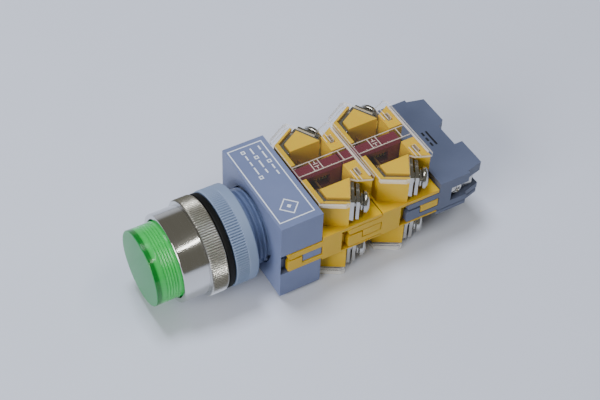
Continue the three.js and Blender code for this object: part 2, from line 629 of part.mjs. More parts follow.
function contactBlock(number) {
  const block = new THREE.Group();
  block.position.y = FIRST_BLOCK + (number - 1) * PITCH;
  const add = (name, shape, look) => block.add(piece(`${name}_${number}`, shape, look));
  add('contact_housing', contactHousing(), 'yellow');
  add('slider', slider(number === 1 ? FRONT_NOSE_TOP : SLIDER.top + 1), 'maroon');
  add('upper_cover', cover(1), 'clear');
  add('lower_cover', cover(-1), 'clear');
  for (const [corner, side, half] of CORNERS) {
    add(`terminal_strip_${corner}`, terminalStrip(side, half, half > 0), 'nickel');
    add(`clamp_plate_${corner}`, clampPlate(side, half), 'nickel');
    add(`terminal_screw_${corner}`, terminalScrew(side, half), 'nickel');
  }
  const closedSpring = CLOSED_BRIDGE + BRIDGE.thickness + GAP;
  const openSpring = OPEN_BRIDGE - GAP - CONTACT_SPRING.open;
  add('closed_contact_bridge', contactBridge(CLOSED_BRIDGE, BRIDGE.z, -1), 'brass');
  add('open_contact_bridge', contactBridge(OPEN_BRIDGE, -BRIDGE.z, 1), 'brass');
  add('closed_contact_spring', contactSpring(closedSpring, CONTACT_SPRING.closed, BRIDGE.z), 'spring');
  add('open_contact_spring', contactSpring(openSpring, CONTACT_SPRING.open, -BRIDGE.z), 'spring');
  return block;
}

// ---- Lamp supply block ------------------------------------------------------------------------

// Plan outline of the housing and its base, with the notch between the ears.
function supplyOutline() {
  const { halfWidth, length } = SUPPLY;
  const { step, taper, plate, ear, notchRight, notchLeft, notchSlope } = SUPPLY_TAIL;
  const notch = length + plate;
  const rear = notch + ear;
  return [
    [-halfWidth, 0], [halfWidth, 0], [halfWidth, length], [halfWidth - step, length],
    [halfWidth - step - taper, rear], [notchRight, rear], [notchRight, notch],
    [-notchLeft + notchSlope, notch], [-notchLeft, rear], [-halfWidth + step + taper, rear],
    [-halfWidth + step, length], [-halfWidth, length],
  ];
}

// The room inside the housing, less a clearance all round.
function supplyRoom(clearance, z0, z1) {
  const halfRoom = SUPPLY.halfWidth - SUPPLY.side - clearance;
  const back = SUPPLY.length + SUPPLY_TAIL.plate - SUPPLY.wall;
  return box(-halfRoom, halfRoom, SUPPLY.wall + clearance, back - clearance, z0, z1);
}

function supplyHousing() {
  const { halfWidth, bottom, top, wall, side: sideWall } = SUPPLY;
  const low = bottom + SUPPLY_BASE.thickness + GAP;
  const shell = prism(supplyOutline(), low, top);
  const room = supplyRoom(0, low - 1, top - wall);
  const leadHoles = [1, -1].map((side) => rod(LEAD.radius + GAP, -1, wall + 1, side * LEAD.x, 0, 12));
  const { start, z, halfHeight } = SUPPLY_SLOT;
  const slots = [1, -1].map((side) => box(side * (halfWidth - sideWall - 1), side * (halfWidth + 1),
    start, 30, z - halfHeight, z + halfHeight));
  return join(cut(shell, room, ...leadHoles, ...slots), ...forks(halfWidth));
}

function supplyBase() {
  const { bottom } = SUPPLY;
  const { thickness, plugDepth, plugWall } = SUPPLY_BASE;
  const top = bottom + thickness;
  const plug = supplyRoom(GAP, top - 0.2, top + GAP + plugDepth);
  const hollow = supplyRoom(GAP + plugWall, top, top + GAP + plugDepth + 1);
  return join(prism(supplyOutline(), bottom, top), cut(plug, hollow));
}

function supplyTab(side) {
  const { start, z, halfHeight } = SUPPLY_SLOT;
  const face = SUPPLY.halfWidth - SUPPLY_SCREW.sunk - SUPPLY_SCREW.headHeight - GAP;
  const half = halfHeight - GAP;
  const plate = box(side * (face - SUPPLY_TAB.thickness), side * face, start + GAP,
    start + GAP + SUPPLY_TAB.length, z - half, z + half);
  return cut(plate, crossRod(SUPPLY_SCREW.shank + GAP, side * (face - 3), side * (face + 3), SUPPLY_SCREW_Y, z));
}

function supplyScrew(side) {
  const { z } = SUPPLY_SLOT;
  const headTop = SUPPLY.halfWidth - SUPPLY_SCREW.sunk;
  const headBase = headTop - SUPPLY_SCREW.headHeight;
  return join(
    crossRod(SUPPLY_SCREW.head, side * headBase, side * headTop, SUPPLY_SCREW_Y, z),
    crossRod(SUPPLY_SCREW.shank, side * (headBase - SUPPLY_SCREW.reach), side * (headBase + 0.2), SUPPLY_SCREW_Y, z));
}

function seriesResistor() {
  return crossRod(RESISTOR.radius, -RESISTOR.half, RESISTOR.half, SUPPLY_SCREW_Y, SUPPLY_SLOT.z);
}

// ---- Assembly ---------------------------------------------------------------------------------

const BLOCKS = 2;
const SUPPLY_FRONT = FIRST_BLOCK + BLOCKS * PITCH;

const group = new THREE.Group();
group.add(
  piece('lens_cap', lensCap(), 'lens'),
  piece('light_diffuser', lightDiffuser(), 'diffuser'),
  piece('bezel', bezel(), 'aluminium'),
  piece('sealing_gasket', sealingGasket(), 'rubber'),
  piece('lock_nut', lockNut(), 'greyBlue'),
  piece('threaded_sleeve', threadedSleeve(), 'greyBlueDark'),
  piece('button_carrier', buttonCarrier(), 'diffuser'),
  piece('return_spring', returnSpring(), 'spring'),
  piece('lamp_bulb', lampBulb(), 'glass'),
  piece('lamp_holder', lampHolder(), 'ceramic'),
  piece('adapter_block', adapterBlock(), 'greyBlue'),
  piece('lamp_lead_right', lampLead(1, SUPPLY_FRONT), 'brass'),
  piece('lamp_lead_left', lampLead(-1, SUPPLY_FRONT), 'brass'),
);
for (let number = 1; number <= BLOCKS; number += 1) {
  group.add(contactBlock(number));
}

const supply = new THREE.Group();
supply.position.y = SUPPLY_FRONT;
supply.add(
  piece('supply_housing', supplyHousing(), 'greyBlueDark'),
  piece('supply_base', supplyBase(), 'greyBlueDark'),
  piece('supply_tab_right', supplyTab(1), 'nickel'),
  piece('supply_tab_left', supplyTab(-1), 'nickel'),
  piece('supply_screw_right', supplyScrew(1), 'nickel'),
  piece('supply_screw_left', supplyScrew(-1), 'nickel'),
  piece('series_resistor', seriesResistor(), 'ceramic'),
);
group.add(supply);

// The origin is under the middle of the part, on the surface that its lowest pieces lie on.
const REAR = SUPPLY_FRONT + SUPPLY.length + SUPPLY_TAIL.plate + SUPPLY_TAIL.ear;
const LOWEST = Math.max(COVER.outer, -ADAPTER.bottom, FLANGE_RADIUS);
group.position.set(0, -(LENS_FRONT + REAR) / 2, LOWEST);

export default group;
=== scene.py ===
import math

import bmesh
import bpy
import numpy as np
from mathutils import Matrix, Vector


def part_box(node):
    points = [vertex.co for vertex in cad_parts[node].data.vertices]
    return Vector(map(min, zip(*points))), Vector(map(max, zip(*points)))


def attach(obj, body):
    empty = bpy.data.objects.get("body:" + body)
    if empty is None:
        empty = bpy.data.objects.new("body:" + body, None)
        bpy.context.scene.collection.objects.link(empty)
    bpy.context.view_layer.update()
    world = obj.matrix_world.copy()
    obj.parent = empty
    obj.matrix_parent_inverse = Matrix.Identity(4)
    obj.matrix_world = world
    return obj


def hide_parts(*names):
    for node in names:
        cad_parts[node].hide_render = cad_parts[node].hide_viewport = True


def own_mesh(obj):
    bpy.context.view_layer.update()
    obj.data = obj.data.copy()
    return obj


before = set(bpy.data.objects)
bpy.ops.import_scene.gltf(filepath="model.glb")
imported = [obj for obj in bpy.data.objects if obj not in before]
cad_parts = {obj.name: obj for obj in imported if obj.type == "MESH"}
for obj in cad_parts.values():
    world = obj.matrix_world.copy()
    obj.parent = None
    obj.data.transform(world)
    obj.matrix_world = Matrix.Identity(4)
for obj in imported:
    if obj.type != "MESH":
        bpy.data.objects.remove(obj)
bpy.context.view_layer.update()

MM = 0.001

# ---- Camera -----------------------------------------------------------------------------------
# Looks down on the button from its front right, with the lens towards the lower left.
# The aim point is just above the button's axis, and the camera is rolled a little.

aim = Vector((0, -0.72, 16.31)) * MM
camera_azimuth = math.radians(58.28)
camera_height = math.radians(47.12)
camera_roll = math.radians(2.52)
camera_distance = 363.7 * MM


def bearing(azimuth, elevation):
    """Unit vector towards a bearing: azimuth 0 is -Y and turns towards +X, elevation is up."""
    return Vector((math.sin(azimuth) * math.cos(elevation),
                   -math.cos(azimuth) * math.cos(elevation), math.sin(elevation)))


def aimed(way, distance, roll=0.0):
    """Matrix of a thing at `distance` from the aim point along `way`, looking back at it."""
    turn = way.to_track_quat("Z", "Y").to_matrix().to_4x4()
    return Matrix.Translation(aim + way * distance) @ turn @ Matrix.Rotation(roll, 4, "Z")


camera_data = bpy.data.cameras.new("camera")
camera_data.lens = 78
camera_data.sensor_width = 36
camera_data.clip_start = 0.01
camera = bpy.data.objects.new("camera", camera_data)
camera.matrix_world = aimed(bearing(camera_azimuth, camera_height), camera_distance, camera_roll)
bpy.context.scene.collection.objects.link(camera)
bpy.context.scene.camera = camera

# ---- Bench and light --------------------------------------------------------------------------
# A plain pale bench. The key light is high up beyond the object and leaves no reflection, but a
# wide fill light beside the lens and a thin strip on the right are mirrored in the metal.
# The room is dim and warm, and bright only low down towards -X.


def linear(code):
    """Turns an sRGB hex colour such as 'c8cad0' into linear red, green, blue and full alpha."""
    srgb = np.array([int(code[i:i + 2], 16) for i in (0, 2, 4)]) / 255
    dark = srgb / 12.92
    light = ((srgb + 0.055) / 1.055) ** 2.4
    return (*np.where(srgb <= 0.04045, dark, light), 1.0)


def add(tree, kind, settings=None, **sockets):
    """Adds a node. Settings are its properties. Sockets, by name or as _0, _1, take values or links."""
    node = tree.nodes.new(kind)
    for name, value in (settings or {}).items():
        setattr(node, name, value)
    for name, value in sockets.items():
        socket = node.inputs[int(name[1:]) if name[0] == "_" else name.replace("_", " ")]
        if isinstance(value, bpy.types.NodeSocket):
            tree.links.new(value, socket)
        else:
            socket.default_value = value
    return node


def material(name, **sockets):
    """A new material with its Principled shader's plain sockets set: (material, tree, shader)."""
    made = bpy.data.materials.new(name)
    made.use_nodes = True
    shader = made.node_tree.nodes["Principled BSDF"]
    for key, value in sockets.items():
        shader.inputs[key.replace("_", " ")].default_value = value
    return made, made.node_tree, shader


def tinted(tree, factor, dark, light):
    """A colour between two hex colours, picked by a 0 to 1 factor.

    A mix node keeps its two colours in sockets 6 and 7 and its mixed colour in output 2.
    """
    mix = add(tree, "ShaderNodeMix", {"data_type": "RGBA"}, Factor=factor)
    mix.inputs[6].default_value = linear(dark)
    mix.inputs[7].default_value = linear(light)
    return mix.outputs[2]


def grain(tree, shader, size, depth, dark, light, rough, patch=9.0, shade=None):
    """A moulded or rolled skin, with sizes in mm.

    Fine noise of `size` makes bumps `depth` high and varies the gloss between the two `rough`
    values. The colour runs from dark to light with `shade`, or else with slow noise of `patch`.
    The real skins are finer, a few hundredths of a millimetre, and are drawn coarser to show.
    """
    place = add(tree, "ShaderNodeTexCoord").outputs["Object"]
    fine = add(tree, "ShaderNodeTexNoise", Vector=place, Scale=1 / (size * MM), Detail=3.0)
    if shade is None:
        slow = add(tree, "ShaderNodeTexNoise", Vector=place, Scale=1 / (patch * MM), Detail=4.0)
        shade = slow.outputs[0]
    bump = add(tree, "ShaderNodeBump", Height=fine.outputs[0], Strength=0.6, Distance=depth * MM)
    gloss = add(tree, "ShaderNodeMapRange", Value=fine.outputs[0], To_Min=rough[0], To_Max=rough[1])
    tree.links.new(bump.outputs[0], shader.inputs["Normal"])
    tree.links.new(gloss.outputs[0], shader.inputs["Roughness"])
    tree.links.new(tinted(tree, shade, dark, light), shader.inputs["Base Color"])


bench_half = 2.0
bench_patch = 60
room_bright_between = (-0.87, -0.98)
room_strength = 0.72
bench_mesh = bpy.data.meshes.new("bench")
bench_mesh.from_pydata(
    [(-bench_half, -bench_half, 0), (bench_half, -bench_half, 0),
     (bench_half, bench_half, 0), (-bench_half, bench_half, 0)], [], [(0, 1, 2, 3)])
bench = bpy.data.objects.new("bench", bench_mesh)
bpy.context.scene.collection.objects.link(bench)
# Rolled satin paint: wide faint clouds of tone, and soft shadows with almost no shine.
bench_paint, tree, shader = material("satin_bench_paint", Specular_IOR_Level=0.25)
grain(tree, shader, 0.8, 0.01, "c8cedd", "cfd5e4", (0.5, 0.6), bench_patch)
bench.data.materials.append(bench_paint)

world = bpy.data.worlds.new("room")
bpy.context.scene.world = world
world.use_nodes = True
tree = world.node_tree
walls = tree.nodes["Background"]
toward = add(tree, "ShaderNodeSeparateXYZ", Vector=add(tree, "ShaderNodeTexCoord").outputs["Generated"])
leftward = add(tree, "ShaderNodeMapRange", {"interpolation_type": "SMOOTHSTEP"}, Value=toward.outputs["X"],
               From_Min=room_bright_between[0], From_Max=room_bright_between[1])
tree.links.new(tinted(tree, leftward.outputs[0], "827f74", "f0f3fb"), walls.inputs["Color"])
walls.inputs["Strength"].default_value = room_strength


def soft_light(name, azimuth, elevation, distance, size, watts, colour, mirrored=True):
    """A rectangular area light at a bearing round the object, aimed at it, seen in gloss or not."""
    data = bpy.data.lights.new(name, "AREA")
    data.shape = "RECTANGLE"
    data.size, data.size_y = size
    data.energy = watts
    data.color = linear(colour)[:3]
    lamp = bpy.data.objects.new(name, data)
    lamp.visible_glossy = mirrored
    lamp.matrix_world = aimed(bearing(math.radians(azimuth), math.radians(elevation)), distance)
    bpy.context.scene.collection.objects.link(lamp)


soft_light("key_light", -80, 74, 0.7, (0.22, 0.22), 4.6, "f0f4ff", mirrored=False)
soft_light("fill_light", 20, 25, 0.9, (0.6, 0.4), 8.8, "f8f7f6")
soft_light("strip_light", 141, 62.6, 0.8, (0.6, 0.018), 1.2, "fffdf6")

# ---- Lens cap ---------------------------------------------------------------------------------
# A clear green polycarbonate cup, injection moulded, that snaps over the carrier's front.
# Its face is frosted, its front corner is deep green, and fine rings run round it by the bezel.

lens_round = 0.4
lens_wall = 1.1
lens_face = 1.2
lens_plain = 2.4
lens_rings = 5
lens_ring_pitch = 0.8
lens_ring_depth = 0.32
lens_ring_clearance = 0.4
lens_ring_steps = 12


def rounded(outline, radius, steps=5, closed=True):
    """Rounds an outline's corners with short quadratic curves, as whole arrays.

    Corner P becomes (1-t)^2 (P + r a) + 2 t (1-t) P + t^2 (P + r b), with a and b towards its
    neighbours and r the corner's radius, or less where an edge is short.
    """
    corner = np.asarray(outline, float)
    back, ahead = np.roll(corner, 1, axis=0) - corner, np.roll(corner, -1, axis=0) - corner
    back_length = np.linalg.norm(back, axis=1, keepdims=True)
    ahead_length = np.linalg.norm(ahead, axis=1, keepdims=True)
    size = np.broadcast_to(np.asarray(radius, float), len(corner)).reshape(-1, 1).copy()
    size = np.minimum(size, 0.49 * np.minimum(back_length, ahead_length))
    if not closed:
        size[[0, -1]] = 0
    start, end = corner + back / back_length * size, corner + ahead / ahead_length * size
    t = np.linspace(0, 1, steps)[None, :, None]
    curve = (1 - t) ** 2 * start[:, None] + 2 * t * (1 - t) * corner[:, None] + t ** 2 * end[:, None]
    points = curve.reshape(-1, 2)
    apart = np.linalg.norm(points - np.roll(points, 1, axis=0), axis=1) > 1e-6
    return points[apart]


def piece(name, points, faces, body, look, nodes=(), sharp=32):
    """A smooth-shaded mesh object from points in metres, riding on a body."""
    data = bpy.data.meshes.new(name)
    data.from_pydata(np.asarray(points, float).tolist(), [], faces)
    data.shade_smooth()
    data.set_sharp_from_angle(angle=math.radians(sharp))
    data.materials.append(look)
    made = bpy.data.objects.new(name, data)
    bpy.context.scene.collection.objects.link(made)
    if nodes:
        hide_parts(*nodes)
    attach(made, body)
    return made


def grid_faces(rows, columns, wrap_rows, wrap_columns):
    """Quads between neighbouring points of a rows by columns grid, closed where it wraps."""
    row = np.arange(rows if wrap_rows else rows - 1)[:, None]
    column = np.arange(columns if wrap_columns else columns - 1)[None, :]
    below, right = (row + 1) % rows, (column + 1) % columns
    quads = np.stack(np.broadcast_arrays(
        row * columns + column, row * columns + right,
        below * columns + right, below * columns + column), axis=-1)
    return quads.reshape(-1, 4).tolist()


def lathe(profile, around, relief=None):
    """Points and outward faces of a (radius, y) profile turned about the Y axis, in mm.

    Point (i, j) is r_i (cos a_j, sin a_j) at y_i, with relief(a, r, y) taken off r. A profile that
    starts and ends on the axis gets one point at each pole, and any other is a closed loop.
    """
    profile = np.asarray(profile, float)
    poles = profile[0, 0] < 1e-6 and profile[-1, 0] < 1e-6
    ring = profile[1:-1] if poles else profile
    radius, along = ring[:, :1], ring[:, 1:]
    angle = np.linspace(0, 2 * np.pi, around, endpoint=False)[None, :]
    if relief is not None:
        radius = radius - relief(angle, radius, along)
    points = np.stack(np.broadcast_arrays(
        radius * np.cos(angle), along, radius * np.sin(angle)), axis=-1).reshape(-1, 3)
    faces = grid_faces(len(ring), around, not poles, True)
    if poles:
        last, step = len(points), np.arange(around)
        points = np.vstack([points, [0, profile[0, 1], 0], [0, profile[-1, 1], 0]])
        following, base = (step + 1) % around, last - around
        faces += np.stack([np.full(around, last), following, step], -1).tolist()
        faces += np.stack([np.full(around, last + 1), base + step, base + following], -1).tolist()
    loop = np.vstack([profile, profile[:1]])
    turn = np.sum(loop[:-1, 0] * loop[1:, 1] - loop[1:, 0] * loop[:-1, 1])
    return points, faces if turn < 0 else [face[::-1] for face in faces]


def spun(name, node, profile, body, look, around=96, relief=None, sharp=32):
    """A lathe piece in place of a turned CAD node, its profile's y measured from the node's front."""
    low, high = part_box(node)
    points, faces = lathe(profile, around, relief)
    middle = (low + high) / 2
    return piece(name, points * MM + np.array([middle.x, low.y, middle.z]), faces, body, look,
                 [node], sharp)


def extent(node):
    """A CAD node's lowest and highest corners in mm, as arrays."""
    low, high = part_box(node)
    return np.array(low) / MM, np.array(high) / MM


lens_low, lens_high = extent("lens_cap")
lens_radius = (lens_high[2] - lens_low[2]) / 2
lens_length = lens_high[1] - lens_low[1]
ring_end = extent("bezel")[0][1] - lens_low[1] - lens_ring_clearance
ring_start = ring_end - lens_rings * lens_ring_pitch
ring_y = np.linspace(ring_start, ring_end, lens_rings * lens_ring_steps + 1)
ring_wave = lens_ring_depth * (0.5 - 0.5 * np.cos(2 * np.pi * (ring_y - ring_start) / lens_ring_pitch))
lens_profile = np.vstack([
    rounded([[0, 0], [lens_radius, 0], [lens_radius, lens_plain]], lens_round, 7, closed=False),
    np.column_stack([lens_radius - ring_wave, ring_y]),
    rounded([[lens_radius, lens_length], [lens_radius - lens_wall, lens_length],
             [lens_radius - lens_wall, lens_face], [0, lens_face]], 0.25, 4, closed=False),
])

# Clear moulded polycarbonate: the frosted face is a mid green, the thick corner round it is deep
# green, and the ringed side is a brighter, glossier green. That brightness is painted light, and so is the
# weak glow.
green, tree, shader = material(
    "clear_green_polycarbonate", IOR=1.5, Transmission_Weight=0.45, Coat_Weight=0.06, Coat_Roughness=0.05,
    Emission_Strength=0.1)
depth_in = add(tree, "ShaderNodeSeparateXYZ", Vector=add(tree, "ShaderNodeTexCoord").outputs["Object"])
behind = add(tree, "ShaderNodeMath", {"operation": "SUBTRACT"}, _0=depth_in.outputs["Y"], _1=lens_low[1] * MM)
green_and_painted_glow = add(tree, "ShaderNodeValToRGB", Fac=add(
    tree, "ShaderNodeMapRange", Value=behind.outputs[0], From_Max=4 * MM).outputs[0])
ramp = green_and_painted_glow.color_ramp
ramp.elements[0].position, ramp.elements[0].color = 0.04, linear("23934c")
ramp.elements[1].position, ramp.elements[1].color = 0.52, linear("3fce64")
for position, colour in ((0.09, "0c7a28"), (0.34, "118a30"), (0.42, "38c45c")):
    ramp.elements.new(position).color = linear(colour)
tree.links.new(green_and_painted_glow.outputs[0], shader.inputs["Base Color"])
# Painted glow: the cap gives off a little light in its own colours, though it is no lamp.
tree.links.new(green_and_painted_glow.outputs[0], shader.inputs["Emission Color"])
frost = add(tree, "ShaderNodeMapRange", Value=behind.outputs[0], From_Max=0.3 * MM, To_Min=0.34, To_Max=0.15)
tree.links.new(frost.outputs[0], shader.inputs["Roughness"])
spun("lens_cap_shell", "lens_cap", lens_profile, "button", green, 160)

# ---- Light diffuser ---------------------------------------------------------------------------
# A frosted white polycarbonate cup inside the lens, which spreads the lamp's light evenly.
# It is moulded thin, and the carrier holds it against the lens.

diffuser_wall = 0.8
diffuser_face = 1.0
diffuser_low, diffuser_high = extent("light_diffuser")
diffuser_radius = (diffuser_high[2] - diffuser_low[2]) / 2
diffuser_length = diffuser_high[1] - diffuser_low[1]
# Frosted moulded polycarbonate: an even milky white with no gloss.
frosted, tree, shader = material("frosted_white_polycarbonate", Subsurface_Weight=0.3, Subsurface_Scale=0.002)
grain(tree, shader, 0.25, 0.01, "dfe8e0", "f4f8f4", (0.5, 0.65))
spun("diffuser_cup", "light_diffuser", rounded(
    [[0, 0], [diffuser_radius, 0], [diffuser_radius, diffuser_length],
     [diffuser_radius - diffuser_wall, diffuser_length],
     [diffuser_radius - diffuser_wall, diffuser_face], [0, diffuser_face]], 0.4, closed=False),
     "button", frosted)

# ---- Bezel ------------------------------------------------------------------------------------
# Turned from aluminium bar and polished, with a flange behind its barrel.
# The flange's rim is rolled with a fine knurl that the fingers grip.

# The real knurl is a little finer, and is drawn this coarse so that it shows.
knurl_pitch = 0.7
knurl_depth = 0.42
knurl_margin = 0.35
knurl_rows = 24
knurl_straight_share = 0.85
groove_steps = 8
flange_bevel = 0.3
flange_step = 1.2
flange_width = 4.95
bezel_wall = 1.5
bezel_low, bezel_high = extent("bezel")
bezel_length = bezel_high[1] - bezel_low[1]
flange_radius = (bezel_high[2] - bezel_low[2]) / 2
barrel_radius = flange_radius - flange_step
flange_front = bezel_length - flange_width
knurl_count = round(2 * np.pi * flange_radius / knurl_pitch)
knurl_y = np.linspace(flange_front + knurl_margin, bezel_length - knurl_margin, knurl_rows)
bezel_profile = np.vstack([
    rounded([[barrel_radius - bezel_wall, bezel_length], [barrel_radius - bezel_wall, 0],
             [barrel_radius, 0], [barrel_radius, flange_front]], [0, 0.35, 0.5, 0], 6, closed=False),
    [[barrel_radius + 0.02, flange_front], [flange_radius - flange_bevel, flange_front + 0.02]],
    np.column_stack([np.full(knurl_rows, flange_radius), knurl_y]),
    [[flange_radius - flange_bevel, bezel_length - 0.02]],
])


def knurl(angle, radius, along):
    """V grooves along the axis, crossed by shallower slanted ones, on the flange's rim only.

    The depth is 1 - |2 t - 1| of each kind of groove, mixed by its share, where t goes from 0 to 1
    from one groove to the next. For the slanted ones t also moves on with y.
    """
    turn = angle * knurl_count / (2 * np.pi)
    straight = np.abs(turn % 1 - 0.5) * 2
    slanted = np.abs((turn / 2 + along / (2 * knurl_pitch)) % 1 - 0.5) * 2
    mixed = knurl_straight_share * (1 - straight) + (1 - knurl_straight_share) * (1 - slanted)
    return knurl_depth * mixed * (radius > flange_radius - 0.01)


def turned_metal(name, light, dark, rough, lines):
    """Metal off a lathe: noise drawn out into rings, `lines` to the mm, varies gloss and height."""
    made, tree, shader = material(name, Metallic=1.0)
    place = add(tree, "ShaderNodeTexCoord").outputs["Object"]
    rings = add(tree, "ShaderNodeMapping", Vector=place)
    rings.inputs["Scale"].default_value = (20, lines / MM, 20)
    noise = add(tree, "ShaderNodeTexNoise", Vector=rings.outputs[0], Scale=1.0, Detail=3.0)
    gloss = add(tree, "ShaderNodeMapRange", Value=noise.outputs[0], To_Min=rough[0], To_Max=rough[1])
    bump = add(tree, "ShaderNodeBump", Height=noise.outputs[0], Strength=0.5, Distance=0.002 * MM)
    tree.links.new(gloss.outputs[0], shader.inputs["Roughness"])
    tree.links.new(bump.outputs[0], shader.inputs["Normal"])
    tree.links.new(tinted(tree, noise.outputs[0], dark, light), shader.inputs["Base Color"])
    return made


# Aluminium polished on the lathe: long mirror-like streaks round the barrel, with faint tool lines.
aluminium = turned_metal("polished_turned_aluminium", "dcdcdc", "cbcbc9", (0.09, 0.2), 6)
ring = spun("bezel_ring", "bezel", bezel_profile, "body", aluminium,
            knurl_count * groove_steps, knurl, 25)
# Rolled, not cut: the tops of the ridges are bright and a little dull. The colour is darker towards the
# groove bottoms by depth alone, a painted shade in the grooves.
rolled, tree, shader = material("rolled_aluminium_knurl", Metallic=1.0)
place = add(tree, "ShaderNodeTexCoord").outputs["Object"]
off_axis = add(tree, "ShaderNodeVectorMath", {"operation": "SUBTRACT"}, _0=place,
               _1=(0, 0, (bezel_low[2] + bezel_high[2]) / 2 * MM))
across = add(tree, "ShaderNodeVectorMath", {"operation": "MULTIPLY"}, _0=off_axis.outputs[0], _1=(1, 0, 1))
reach = add(tree, "ShaderNodeVectorMath", {"operation": "LENGTH"}, _0=across.outputs[0])
# Painted shade: 0 at the groove bottoms, rising to 1 near the rim, picks the colour from dark to light.
painted_groove_shade = add(tree, "ShaderNodeMapRange", Value=reach.outputs["Value"],
            From_Min=(flange_radius - 0.8 * knurl_depth) * MM,
            From_Max=(flange_radius - 0.1 * knurl_depth) * MM)
grain(tree, shader, 0.15, 0.01, "a3a29c", "f4f5f4", (0.22, 0.36), shade=painted_groove_shade.outputs[0])
ring.data.materials.append(rolled)
middle = np.zeros(len(ring.data.polygons) * 3)
ring.data.polygons.foreach_get("center", middle)
middle = middle.reshape(-1, 3) / MM - [0, bezel_low[1], (bezel_low[2] + bezel_high[2]) / 2]
on_rim = np.hypot(middle[:, 0], middle[:, 2]) > flange_radius - knurl_depth - 0.1
on_rim &= middle[:, 1] > flange_front
ring.data.polygons.foreach_set("material_index", on_rim.astype(np.int32))

# ---- Sealing gasket ---------------------------------------------------------------------------
# A moulded black rubber washer between the flange and the panel, squeezed a little round.

gasket_low, gasket_high = extent("sealing_gasket")
gasket_radius = (gasket_high[2] - gasket_low[2]) / 2
gasket_width = gasket_high[1] - gasket_low[1]
panel_bore = barrel_radius - bezel_wall
# Moulded rubber: black and matt, with a faint soft sheen round its edge.
rubber, tree, shader = material("moulded_black_rubber", Specular_IOR_Level=0.25)
grain(tree, shader, 0.3, 0.015, "070708", "111213", (0.6, 0.8))
spun("gasket_ring", "sealing_gasket", rounded(
    [[panel_bore, 0], [gasket_radius, 0], [gasket_radius, gasket_width], [panel_bore, gasket_width]], 0.5),
     "body", rubber, 128)

# ---- Lock nut ---------------------------------------------------------------------------------
# A moulded grey-blue nylon nut that runs on the sleeve's thread and clamps the panel.
# Straight serrations cover the front part of its rim, and the rest is plain.

serrations = 114
serration_depth = 0.42
serrated_share = 0.6
nut_front_band = 0.8
nut_wall_rows = np.array([-3, -0.5, -0.2, 0, 0.1])
nut_low, nut_high = extent("lock_nut")
nut_radius = (nut_high[2] - nut_low[2]) / 2
nut_width = nut_high[1] - nut_low[1]
serration_end = nut_width * serrated_share


def straight_serrations(angle, radius, along):
    """One groove per serration, from the front edge to where the plain band starts.

    The depth is 1.3 - 2.2 |2 t - 1|, held between 0 and 1, where t goes from 0 to 1 across a
    serration. It fades out over 0.2 mm at the plain band, and inwards from the rim.
    """
    wave = np.clip(1.3 - 2.2 * np.abs((angle * serrations / (2 * np.pi)) % 1 - 0.5) * 2, 0, 1)
    rim = np.clip((radius - (nut_radius - 0.6)) / 0.3, 0, 1)
    return serration_depth * wave * rim * np.clip((serration_end - along) / 0.2, 0, 1)


nut_profile = np.vstack([
    rounded([[panel_bore, nut_width], [panel_bore, 0], [nut_radius, 0], [nut_radius, nut_front_band]],
            [0, 0.3, 0.5, 0], 5, closed=False),
    np.column_stack([np.full(len(nut_wall_rows), nut_radius), serration_end + nut_wall_rows]),
    rounded([[nut_radius, serration_end + 0.3], [nut_radius, nut_width], [panel_bore + 0.02, nut_width]],
            0.45, 5, closed=False),
])
# Moulded nylon: a pale satin skin, with soft light along each serration.
nut_nylon, tree, shader = material("moulded_pale_blue_nylon")
grain(tree, shader, 0.2, 0.008, "7485a2", "8091ab", (0.42, 0.56))
spun("nut_ring", "lock_nut", nut_profile, "nut", nut_nylon,
     serrations * groove_steps, straight_serrations, 30)

# ---- Threaded sleeve --------------------------------------------------------------------------
# The moulded tube that goes through the panel, with the head's works inside it.
# Its coarse thread shows between the nut and the adapter block, with a keyway cut across it.

thread_pitch = 1.5
thread_depth = 0.75
thread_rows = 190
thread_margin = 0.3
sleeve_wall = 1.4
keyway_angle = math.radians(-20)
keyway_half = 1.1
keyway_depth = 0.9
sleeve_low, sleeve_high = extent("threaded_sleeve")
sleeve_radius = (sleeve_high[2] - sleeve_low[2]) / 2
sleeve_length = sleeve_high[1] - sleeve_low[1]


def thread_and_keyway(angle, radius, along):
    """A helical groove, one pitch a turn, and a flat-bottomed slot along the axis.

    The groove is 1.3 - 3.4 |t - 1/2|, held between 0 and 1, with t the fraction of
    y / pitch - a / 2 pi. The slot is as deep all across, with steep sides.
    """
    phase = (along / thread_pitch - angle / (2 * np.pi)) % 1
    groove = np.clip(1.3 - np.abs(phase - 0.5) * 3.4, 0, 1) * thread_depth
    away = np.abs((angle - keyway_angle + np.pi) % (2 * np.pi) - np.pi) * sleeve_radius
    slot = np.clip((keyway_half - away) / 0.15, 0, 1) * keyway_depth
    return np.maximum(groove, slot) * (radius > sleeve_radius - 0.01)


thread_y = np.linspace(thread_margin, sleeve_length - thread_margin, thread_rows)
sleeve_profile = np.vstack([
    [[sleeve_radius - sleeve_wall, sleeve_length], [sleeve_radius - sleeve_wall, 0],
     [sleeve_radius - keyway_depth - 0.05, 0]],
    np.column_stack([np.full(thread_rows, sleeve_radius), thread_y]),
    [[sleeve_radius - keyway_depth - 0.05, sleeve_length]],
])
# Moulded nylon in a darker slate, smoother off its mould, so the thread's flanks are glossier.
sleeve_nylon, tree, shader = material("moulded_slate_nylon")
grain(tree, shader, 0.25, 0.008, "5c6a8c", "6b7a9c", (0.35, 0.5))
spun("sleeve_tube", "threaded_sleeve", sleeve_profile, "body", sleeve_nylon, 144,
     thread_and_keyway, 35)

# ---- Adapter block ----------------------------------------------------------------------------
# A grey-blue ABS block, satin from a spark-eroded mould, that joins the head to the contacts.
# A frame, a plain diamond and rows of dashes are printed in white on its top.

ink_thickness = 0.03


